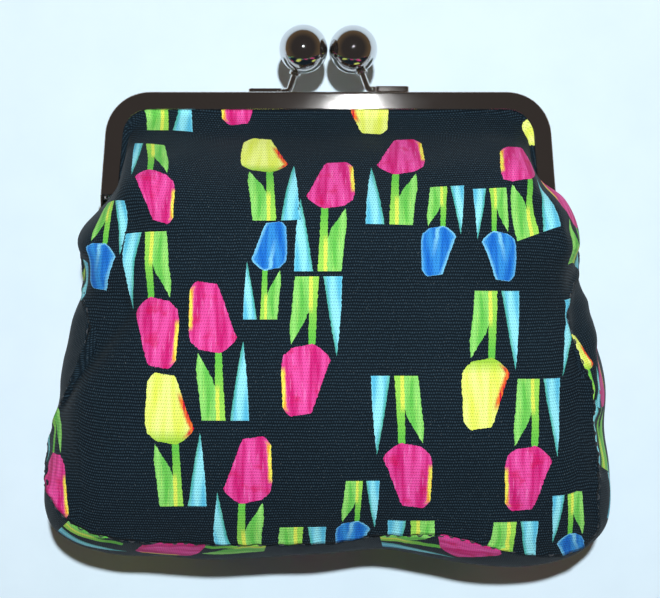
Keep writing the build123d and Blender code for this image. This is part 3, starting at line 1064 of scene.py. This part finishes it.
# The outward direction is read three rows in from the seam, where the sunk edge doesn't turn it.
for name, row, row_in in (("front", -1 - EDGE, -4 - EDGE), ("rear", EDGE, EDGE + 3)):
    seams.append(stitches(f"{name}_seam_stitches", gusset[sewn_part, row], gusset_out[sewn_part, row_in]))
seam_points = np.array([vertex.co for vertex in seams[0].data.vertices]) / MM
follow_front(seams[0], hinge_pull(seam_points))
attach(seams[1], ROOT)


# ---------------------------------------------------------------- materials
def rgb(red, green, blue):
    """A display colour, 0 to 255, as a linear one."""
    values = np.array([red, green, blue]) / 255
    linear = np.where(values <= 0.04045, values / 12.92, ((values + 0.055) / 1.055) ** 2.4)
    return (*linear.tolist(), 1.0)


class Nodes:
    """Builds the node tree of a material or world."""

    def __init__(self, owner):
        owner.use_nodes = True
        self.owner = owner
        self.tree = owner.node_tree
        self.tree.nodes.clear()

    def put(self, socket, value):
        if isinstance(value, bpy.types.NodeSocket):
            self.tree.links.new(value, socket)
        else:
            socket.default_value = value

    def add(self, kind, inputs=(), **settings):
        node = self.tree.nodes.new("ShaderNode" + kind)
        for key, value in settings.items():
            setattr(node, key, value)
        for key, value in dict(inputs).items():
            self.put(node.inputs[key], value)
        return node

    def math(self, operation, *values):
        node = self.add("Math", operation=operation)
        for socket, value in zip(node.inputs, values):
            self.put(socket, value)
        return node.outputs[0]

    def plus(self, *values):
        return reduce(lambda first, second: self.math("ADD", first, second), values)

    def times(self, *values):
        return reduce(lambda first, second: self.math("MULTIPLY", first, second), values)

    def minus(self, first, second):
        return self.math("SUBTRACT", first, second)

    def mix(self, factor, first, second):
        node = self.add("Mix", data_type="RGBA")
        for index, value in ((0, factor), (6, first), (7, second)):
            self.put(node.inputs[index], value)
        return node.outputs[2]

    def split(self, vector):
        return self.add("SeparateXYZ", {0: vector}).outputs[:3]

    def scaled(self, vector, size):
        return self.add("VectorMath", {0: vector, 1: size}, operation="MULTIPLY").outputs[0]

    def noise(self, vector, scale=1.0, detail=2.0):
        return self.add("TexNoise", {"Vector": vector, "Scale": scale, "Detail": detail}).outputs[0]

    def spread(self, value, low, high, to_low=0.0, to_high=1.0):
        return self.add("MapRange", {0: value, 1: low, 2: high, 3: to_low, 4: to_high}).outputs[0]

    def tint(self, value, low, high, first, second, most=1.0):
        """From first towards second as a value goes from low to high."""
        return self.mix(self.spread(value, low, high, 0, most), first, second)

    def bump(self, height, distance, strength=1.0, **normal):
        inputs = {"Height": height, "Distance": distance * MM, "Strength": strength, **normal}
        return self.add("Bump", inputs).outputs[0]

    def output(self, kind, shader):
        output = self.add("Output" + kind)
        self.tree.links.new(shader.outputs[0], output.inputs[0])
        return self.owner

    def finish(self, **inputs):
        names = {key.replace("_", " "): value for key, value in inputs.items()}
        return self.output("Material", self.add("BsdfPrincipled", names))


def material_nodes(name):
    """The nodes of a new material."""
    return Nodes(bpy.data.materials.new(name))


# A float curve works in 0 to 1, so heights and widths are shifted and scaled into it.
UP_FROM, UP_SPAN, WIDE_SPAN = -15.0, 31.0, 16.0
SHUT_OVER = 0.004  # how soon a part closes past its last step, and before its first


def edge_curve(nodes, up, steps, side):
    """The left (side 1) or right (side 2) edge of a tulip's part at a height."""
    node = nodes.add("FloatCurve", {"Value": up})
    curve = node.mapping.curves[0]
    places = [((step[0] - UP_FROM) / UP_SPAN, step[side] / WIDE_SPAN + 0.5) for step in steps]
    first_middle, last_middle = ((step[1] + step[2]) / 2 / WIDE_SPAN + 0.5 for step in (steps[0], steps[-1]))
    places.append((places[-1][0] + SHUT_OVER, last_middle))
    if steps[0][0] > UP_FROM + 1:
        places.insert(0, (places[0][0] - SHUT_OVER, first_middle))
    for index, place in enumerate(places):
        point = curve.points[index] if index < 2 else curve.points.new(*place)
        point.location = place
        point.handle_type = "VECTOR"
    node.mapping.update()
    return nodes.times(nodes.minus(node.outputs[0], 0.5), WIDE_SPAN)


def pink_petals(n, streaks, fine, blotches, y, from_left):
    """Pink, streaked, with a golden edge on the left."""
    pink = n.tint(streaks, 0.38, 0.62, rgb(206, 34, 118), rgb(238, 84, 168))
    pink = n.tint(fine, 0.6, 0.72, pink, rgb(250, 130, 200), 0.6)
    pink = n.tint(blotches, 0.55, 0.7, pink, rgb(206, 16, 74), 0.5)
    edge = n.times(n.spread(from_left, 0.6, 1.05, 1, 0), n.spread(y, 4.6, 6.0), n.spread(y, 13.4, 14.6, 1, 0))
    return n.mix(edge, pink, n.tint(fine, 0.4, 0.6, rgb(246, 238, 96), rgb(247, 170, 60)))


def yellow_petals(n, streaks, fine, y, from_right):
    """Yellow, green at the stem, with a crimson edge on the right."""
    yellow = n.tint(streaks, 0.35, 0.65, rgb(228, 240, 90), rgb(242, 252, 146))
    yellow = n.mix(n.spread(y, 0.6, 3.4, 0.9, 0), yellow, rgb(150, 205, 60))
    edge = n.times(n.spread(from_right, 0.6, 1.3, 1, 0), n.spread(y, 1.0, 2.4), n.spread(y, 9.6, 11.6, 1, 0))
    return n.mix(edge, yellow, n.tint(fine, 0.45, 0.6, rgb(205, 20, 60), rgb(245, 120, 50)))


def blue_petals(n, streaks, y, from_left, from_right):
    """Blue, with a pale rim and a pale streak up from the stem."""
    pale = rgb(140, 215, 245)
    blue = n.tint(streaks, 0.36, 0.64, rgb(26, 102, 200), rgb(56, 146, 222))
    rim = n.math("MAXIMUM", n.spread(from_left, 0.2, 0.75, 0.6, 0), n.spread(from_right, 0.25, 1.1, 1, 0))
    blue = n.mix(n.times(rim, 0.75), blue, rgb(135, 215, 245))
    centre = n.math("ABSOLUTE", n.minus(from_left, n.times(from_right, 0.8)))
    return n.mix(n.times(n.spread(centre, 0.4, 1.6, 0.8, 0), n.spread(y, 3.0, 10.0, 1, 0)), blue, pale)


def leaf_colours(n, streaks, fine, x, y, from_pale_edge):
    """The stalk's, the green leaf's and the pale leaf's colour."""
    stalk = n.tint(y, -12.0, -1.5, rgb(160, 222, 90), rgb(106, 196, 76))
    yolk = n.times(n.math("LESS_THAN", x, 0.25), n.spread(y, -8.5, -6.5, 1, 0))
    stalk = n.mix(yolk, stalk, rgb(224, 236, 96))
    green = n.tint(streaks, 0.38, 0.62, rgb(102, 194, 82), rgb(160, 230, 122))
    green = n.tint(fine, 0.56, 0.7, green, rgb(190, 240, 120), 0.6)
    pale = n.tint(streaks, 0.4, 0.62, rgb(92, 190, 225), rgb(150, 232, 246))
    return stalk, green, n.mix(n.spread(from_pale_edge, 0.1, 0.9, 0.65, 0), pale, rgb(70, 170, 120))


def printed(n, cloth):
    """The print's colour, and where it is dyed, 0 or 1."""
    tulip = n.add("UVMap", uv_map="tulip").outputs[0]
    kind = n.add("Attribute", attribute_name="kind").outputs["Fac"]
    x, y, _ = n.split(tulip)
    rough = n.math("MULTIPLY_ADD", n.noise(cloth, 1.1, 3.0), 0.5, -0.25)  # the edges waver
    x = n.plus(x, rough)
    up = n.math("DIVIDE", n.minus(n.plus(y, rough), UP_FROM), UP_SPAN)
    here = n.times(n.math("GREATER_THAN", y, FOOT), n.math("LESS_THAN", kind, NO_TULIP - 1))
    gaps, masks = [], []
    for steps in PARTS:
        left, right = (edge_curve(n, up, steps, side) for side in (1, 2))
        gaps.append((n.minus(x, left), n.minus(right, x)))
        masks.append(n.times(n.math("GREATER_THAN", x, left), n.math("LESS_THAN", x, right), here))
    flower, stem, green, pale = masks
    flower = n.times(flower, n.math("LESS_THAN", kind, LEAVES - 0.5))
    from_left, from_right = gaps[0]

    streaks = n.noise(n.scaled(tulip, (0.62, 0.06, 1.0)), 1.0, 1.5)
    fine = n.noise(n.scaled(tulip, (1.5, 0.16, 1.0)), 1.0, 1.0)
    petals = pink_petals(n, streaks, fine, n.noise(cloth, 0.3), y, from_left)
    yellow = yellow_petals(n, streaks, fine, y, from_right)
    blue = blue_petals(n, streaks, y, from_left, from_right)
    petals = n.mix(n.math("COMPARE", kind, YELLOW, 0.1), petals, yellow)
    petals = n.mix(n.math("COMPARE", kind, BLUE, 0.1), petals, blue)
    stalk_colour, green_colour, pale_colour = leaf_colours(n, streaks, fine, x, y, gaps[3][0])

    colour = n.mix(n.noise(cloth, 0.06, 3.0), rgb(13, 21, 28), rgb(19, 30, 38))
    colour = n.mix(pale, colour, pale_colour)
    colour = n.mix(green, colour, green_colour)
    colour = n.mix(stem, colour, stalk_colour)
    colour = n.mix(flower, colour, petals)
    return colour, n.math("MINIMUM", n.plus(pale, green, stem, flower), 1.0)


def weave(n, u, v, rib, dot):
    """Ribs across the cloth and staggered threads along them, each from 0 to 1."""
    row = n.math("DIVIDE", v, rib)
    ribs = n.math("SINE", n.times(row, 2 * math.pi))
    ribs = n.math("MULTIPLY_ADD", ribs, 0.5, 0.5)
    shift = n.times(n.math("FLOOR", row), math.pi)
    dots = n.math("SINE", n.math("MULTIPLY_ADD", u, 2 * math.pi / dot, shift))
    return ribs, n.math("MULTIPLY_ADD", dots, 0.5, 0.5)


PRINT_RIB, PRINT_DOT = 0.69, 0.54  # pitch of the printed canvas's ribs, and of the threads along them
LINT_AND_SHEEN, SPECK, HOLLOW_SHADE = rgb(104, 140, 165), rgb(120, 128, 130), rgb(14, 16, 18)


def printed_cloth():
    """Dark ribbed cotton with printed tulips."""
    n = material_nodes("printed_cotton")
    cloth = n.add("UVMap", uv_map="cloth").outputs[0]
    colour, dyed = printed(n, cloth)
    undyed = n.minus(1.0, dyed)
    u, v, _ = n.split(cloth)
    wander = n.noise(n.scaled(cloth, (0.4, 0.4, 1.0)))
    u, v = n.math("MULTIPLY_ADD", wander, 0.5, u), n.math("MULTIPLY_ADD", wander, 0.35, v)
    ribs, dots = weave(n, u, v, PRINT_RIB, PRINT_DOT)

    # Painted shade: the colour darkens towards near-black between the threads and in the hollows between the
    # ribs.
    gap = n.times(n.spread(dots, 0.62, 0.95), n.spread(ribs, 0.3, 0.75, 1, 0))
    shade = n.times(n.minus(1.0, n.times(gap, 0.42)), n.spread(ribs, 0.0, 1.0, 0.93, 1.02))
    colour = n.mix(n.minus(1.0, shade), colour, HOLLOW_SHADE)
    # Pale fibre and a painted sheen lighten the tops of the undyed ribs, more in some places than in others;
    # pale fibre also shows as a few specks.
    uneven = n.spread(n.noise(cloth, 1.4), 0.3, 0.7, 0.45, 1.0)
    lint_and_sheen = n.times(n.spread(ribs, 0.2, 1.0, 0, 0.24), uneven, undyed, n.spread(dots, 0.2, 0.9, 0.04, 1.0))
    colour = n.mix(lint_and_sheen, colour, LINT_AND_SHEEN)
    specks = n.spread(n.noise(cloth, 2.6, 1.0), 0.71, 0.76, 0, 0.35)
    colour = n.mix(n.times(specks, undyed), colour, SPECK)
    height = n.times(ribs, n.math("MULTIPLY_ADD", dots, 0.75, 0.25))
    return n.finish(
        Base_Color=colour,
        Roughness=0.74,
        Specular_IOR_Level=0.12,
        Sheen_Weight=0.03,
        Sheen_Roughness=0.45,
        Normal=n.bump(height, 0.1, 0.7),
    )


def plain_cloth(name, low, high, rib, dot, fuzz):
    """Undyed or plain cloth with its weave."""
    n = material_nodes(name)
    cloth = n.add("UVMap", uv_map="cloth").outputs[0]
    u, v, _ = n.split(cloth)
    ribs, dots = weave(n, u, v, rib, dot)
    fluff = n.times(n.noise(cloth, 3.0, 4.0), fuzz)
    woven = n.math("MULTIPLY_ADD", n.times(ribs, dots), 1 - fuzz, fluff)
    # Painted shade: the colour is darker where the weave sinks between the threads, and varies with random
    # fluff.
    colour = n.tint(woven, 0.0, 0.9, low, high)
    colour = n.tint(n.noise(cloth, 0.15), 0.35, 0.7, colour, low, 0.25)
    return n.finish(Base_Color=colour, Roughness=0.85, Sheen_Weight=0.2, Normal=n.bump(woven, 0.1, 0.8))


def nickel(name, tint, roughness, scratch):
    """Polished plated metal with hairline scratches and handling marks."""
    n = material_nodes(name)
    place = n.add("TexCoord").outputs["Object"]
    hairs = n.noise(n.scaled(place, (900.0, 9000.0, 2500.0)))
    cross = n.noise(n.scaled(place, (7000.0, 800.0, 2500.0)))
    marks = n.noise(place, 160.0, 4.0)
    worn = n.plus(n.spread(hairs, 0.55, 0.8, 0, scratch), n.spread(cross, 0.6, 0.8, 0, scratch))
    rough = n.plus(worn, roughness, n.spread(marks, 0.45, 0.75, 0, 0.008))
    dulled = (*(0.8 * channel for channel in tint[:3]), 1.0)
    colour = n.tint(marks, 0.5, 0.8, tint, dulled, 0.25)
    rounded = n.add("Bevel", {"Radius": 0.5 * MM}, samples=6).outputs[0]
    normal = n.bump(n.plus(hairs, cross), 0.0012, 0.5, Normal=rounded)
    return n.finish(Base_Color=colour, Metallic=1.0, Roughness=rough, Normal=normal)


TWIST = 5200.0  # radians per metre


def paper():
    """Twisted kraft paper."""
    n = material_nodes("twisted_paper")
    place = n.add("TexCoord").outputs["Object"]
    x, y, z = n.split(place)
    twist = n.math("SINE", n.times(n.plus(x, y, n.times(z, 2.0)), TWIST))
    fibre = n.noise(place, 2600.0, 3.0)
    height = n.math("MULTIPLY_ADD", twist, 0.3, fibre)
    # Painted shade: the colour darkens in the twist's grooves; the fibre varies it at random.
    colour = n.tint(height, 0.2, 0.9, rgb(176, 150, 112), rgb(222, 204, 168))
    return n.finish(Base_Color=colour, Roughness=0.9, Normal=n.bump(height, 0.05, 0.8))


def sewing_thread():
    """Plied sewing thread."""
    n = material_nodes("sewing_thread")
    place = n.add("TexCoord").outputs["Object"]
    ply = n.noise(n.scaled(place, (5200.0, 5200.0, 5200.0)))
    colour = n.tint(ply, 0.4, 0.62, rgb(22, 24, 28), rgb(64, 70, 78))
    return n.finish(Base_Color=colour, Roughness=0.6, Sheen_Weight=0.3, Normal=n.bump(ply, 0.05, 0.8))


def pale_table():
    """A smooth pale table top."""
    n = material_nodes("pale_table")
    place = n.add("TexCoord").outputs["Object"]
    grain = n.noise(place, 70.0, 5.0)
    colour = n.tint(grain, 0.3, 0.7, (0.70, 0.83, 0.94, 1), (0.73, 0.86, 0.97, 1))
    normal = n.bump(grain, 0.05, 0.3)
    return n.finish(Base_Color=colour, Roughness=0.55, Specular_IOR_Level=0.2, Normal=normal)


def dress(piece, material):
    """Gives a piece one material."""
    if not piece.data.materials:
        piece.data.materials.append(material)
    for place in piece.material_slots:
        place.link = "OBJECT"
        place.material = material


fleece = plain_cloth("fleece_interlining", rgb(186, 182, 172), rgb(232, 228, 218), 1.4, 1.4, 0.9)
cotton = plain_cloth("cotton_lining", rgb(62, 62, 70), rgb(112, 112, 122), 0.45, 0.5, 0.25)
LAYER_LOOK = {
    "panel": (printed_cloth(), "printed_fabric"),
    "interlining": (fleece, "interlining"),
    "lining": (cotton, "lining_fabric"),
}
for (part, layer), piece in cloth_pieces.items():
    material, record_slot = LAYER_LOOK[layer]
    dress(piece, material)

thread = sewing_thread()
for seam in seams:
    dress(seam, thread)

frame_metal = nickel("nickel_frame", (0.80, 0.76, 0.74, 1), 0.025, 0.006)
rivet_metal = nickel("nickel_rivet", (0.74, 0.73, 0.71, 1), 0.12, 0.06)
clasp_metal = nickel("nickel_clasp", (0.66, 0.655, 0.66, 1), 0.06, 0.015)
for side in ("left", "right"):
    dress(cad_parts[f"{side}_hinge_rivet"], rivet_metal)
for side in ("front", "rear"):
    dress(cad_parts[f"{side}_frame"], frame_metal)
    dress(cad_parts[f"{side}_clasp_arm"], frame_metal)
    dress(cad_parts[f"{side}_clasp_collar"], rivet_metal)
    dress(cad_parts[f"{side}_clasp_ball"], clasp_metal)
    dress(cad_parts[f"{side}_paper_cord"], paper())


# ---------------------------------------------------------------- floor, lights and camera
TABLE_HALF, TABLE_LINES = 0.75, 12  # half the table's side, in metres, and its grid's lines each way
UNDER_BAG = 0.02


def table_top():
    """The floor, a square grid just below the bag."""
    mesh = bpy.data.meshes.new("table_top")
    line = np.linspace(-TABLE_HALF, TABLE_HALF, TABLE_LINES)
    x, y = np.meshgrid(line, line, indexing="ij")
    points = np.stack([x, y, 0 * x - UNDER_BAG * MM], -1).reshape(-1, 3)
    first = (np.arange(TABLE_LINES - 1)[:, None] * TABLE_LINES + np.arange(TABLE_LINES - 1)).ravel()
    faces = np.stack([first, first + TABLE_LINES, first + TABLE_LINES + 1, first + 1], 1)
    mesh.from_pydata(points.tolist(), [], faces.tolist())
    floor = add_object("table_top", mesh)
    dress(floor, pale_table())


def area_light(name, place, target, size, power, colour, mirrored):
    """A round lamp at place, turned to target; both in mm. Metal mirrors it or not."""
    lamp = bpy.data.lights.new(name, "AREA")
    lamp.shape, lamp.size, lamp.energy, lamp.color = "DISK", size * MM, power, colour
    piece = add_object(name, lamp)
    place, target = np.array(place, float), np.array(target, float)
    away = unit(place - target)
    side = unit(np.cross([0.0, 1.0, 0.01], away))
    turn = np.eye(4)
    turn[:3] = np.stack([side, np.cross(away, side), away, place * MM], 1)
    piece.matrix_world = Matrix(turn.tolist())
    piece.visible_glossy = mirrored


WALLS, CEILING = (0.15, 0.1, 0.055, 1), (0.042, 0.036, 0.033, 1)
CEILING_FROM = 0.6  # upward part of the direction from which on the ceiling shows


def room():
    """Dim surroundings for the metal to mirror: warm walls that darken to the ceiling."""
    n = Nodes(bpy.data.worlds.new("room"))
    height = n.split(n.add("TexCoord").outputs["Generated"])[2]
    colour = n.tint(height, 0.0, CEILING_FROM, WALLS, CEILING)
    bpy.context.scene.world = n.output("World", n.add("Background", {0: colour}))


SEEN_WIDE = 153.65  # what the camera sees across at the frame's face


def front_camera():
    """A camera straight above the purse, looking down on its front panel."""
    lens = bpy.data.cameras.new("camera")
    lens.sensor_width = 36.0
    lens.lens = lens.sensor_width * CAMERA_AWAY / SEEN_WIDE
    lens.clip_start = 0.01
    camera = add_object("camera", lens)
    camera.location = (CAMERA_X * MM, CAMERA_Y * MM, (SEEN_AT_Z + CAMERA_AWAY) * MM)
    bpy.context.scene.camera = camera


table_top()
KEY_PLACE, KEY_TARGET, KEY_SIZE, DAYLIGHT = (16, 103, 629), (0, 0, 20), 18, (0.93, 0.985, 1.0)
area_light("key_lamp", KEY_PLACE, KEY_TARGET, KEY_SIZE, 3.7, DAYLIGHT, False)
area_light("glint_lamp", KEY_PLACE, KEY_TARGET, KEY_SIZE, 0.7, DAYLIGHT, True)
area_light("left_softbox", (-420, 60, 160), (0, 10, 20), 200, 0.14, (1.0, 0.58, 0.24), False)
area_light("right_softbox", (430, 120, 170), (0, 10, 20), 200, 0.16, (1.0, 0.62, 0.28), False)
room()
bpy.context.scene.view_settings.view_transform = "Standard"
front_camera()
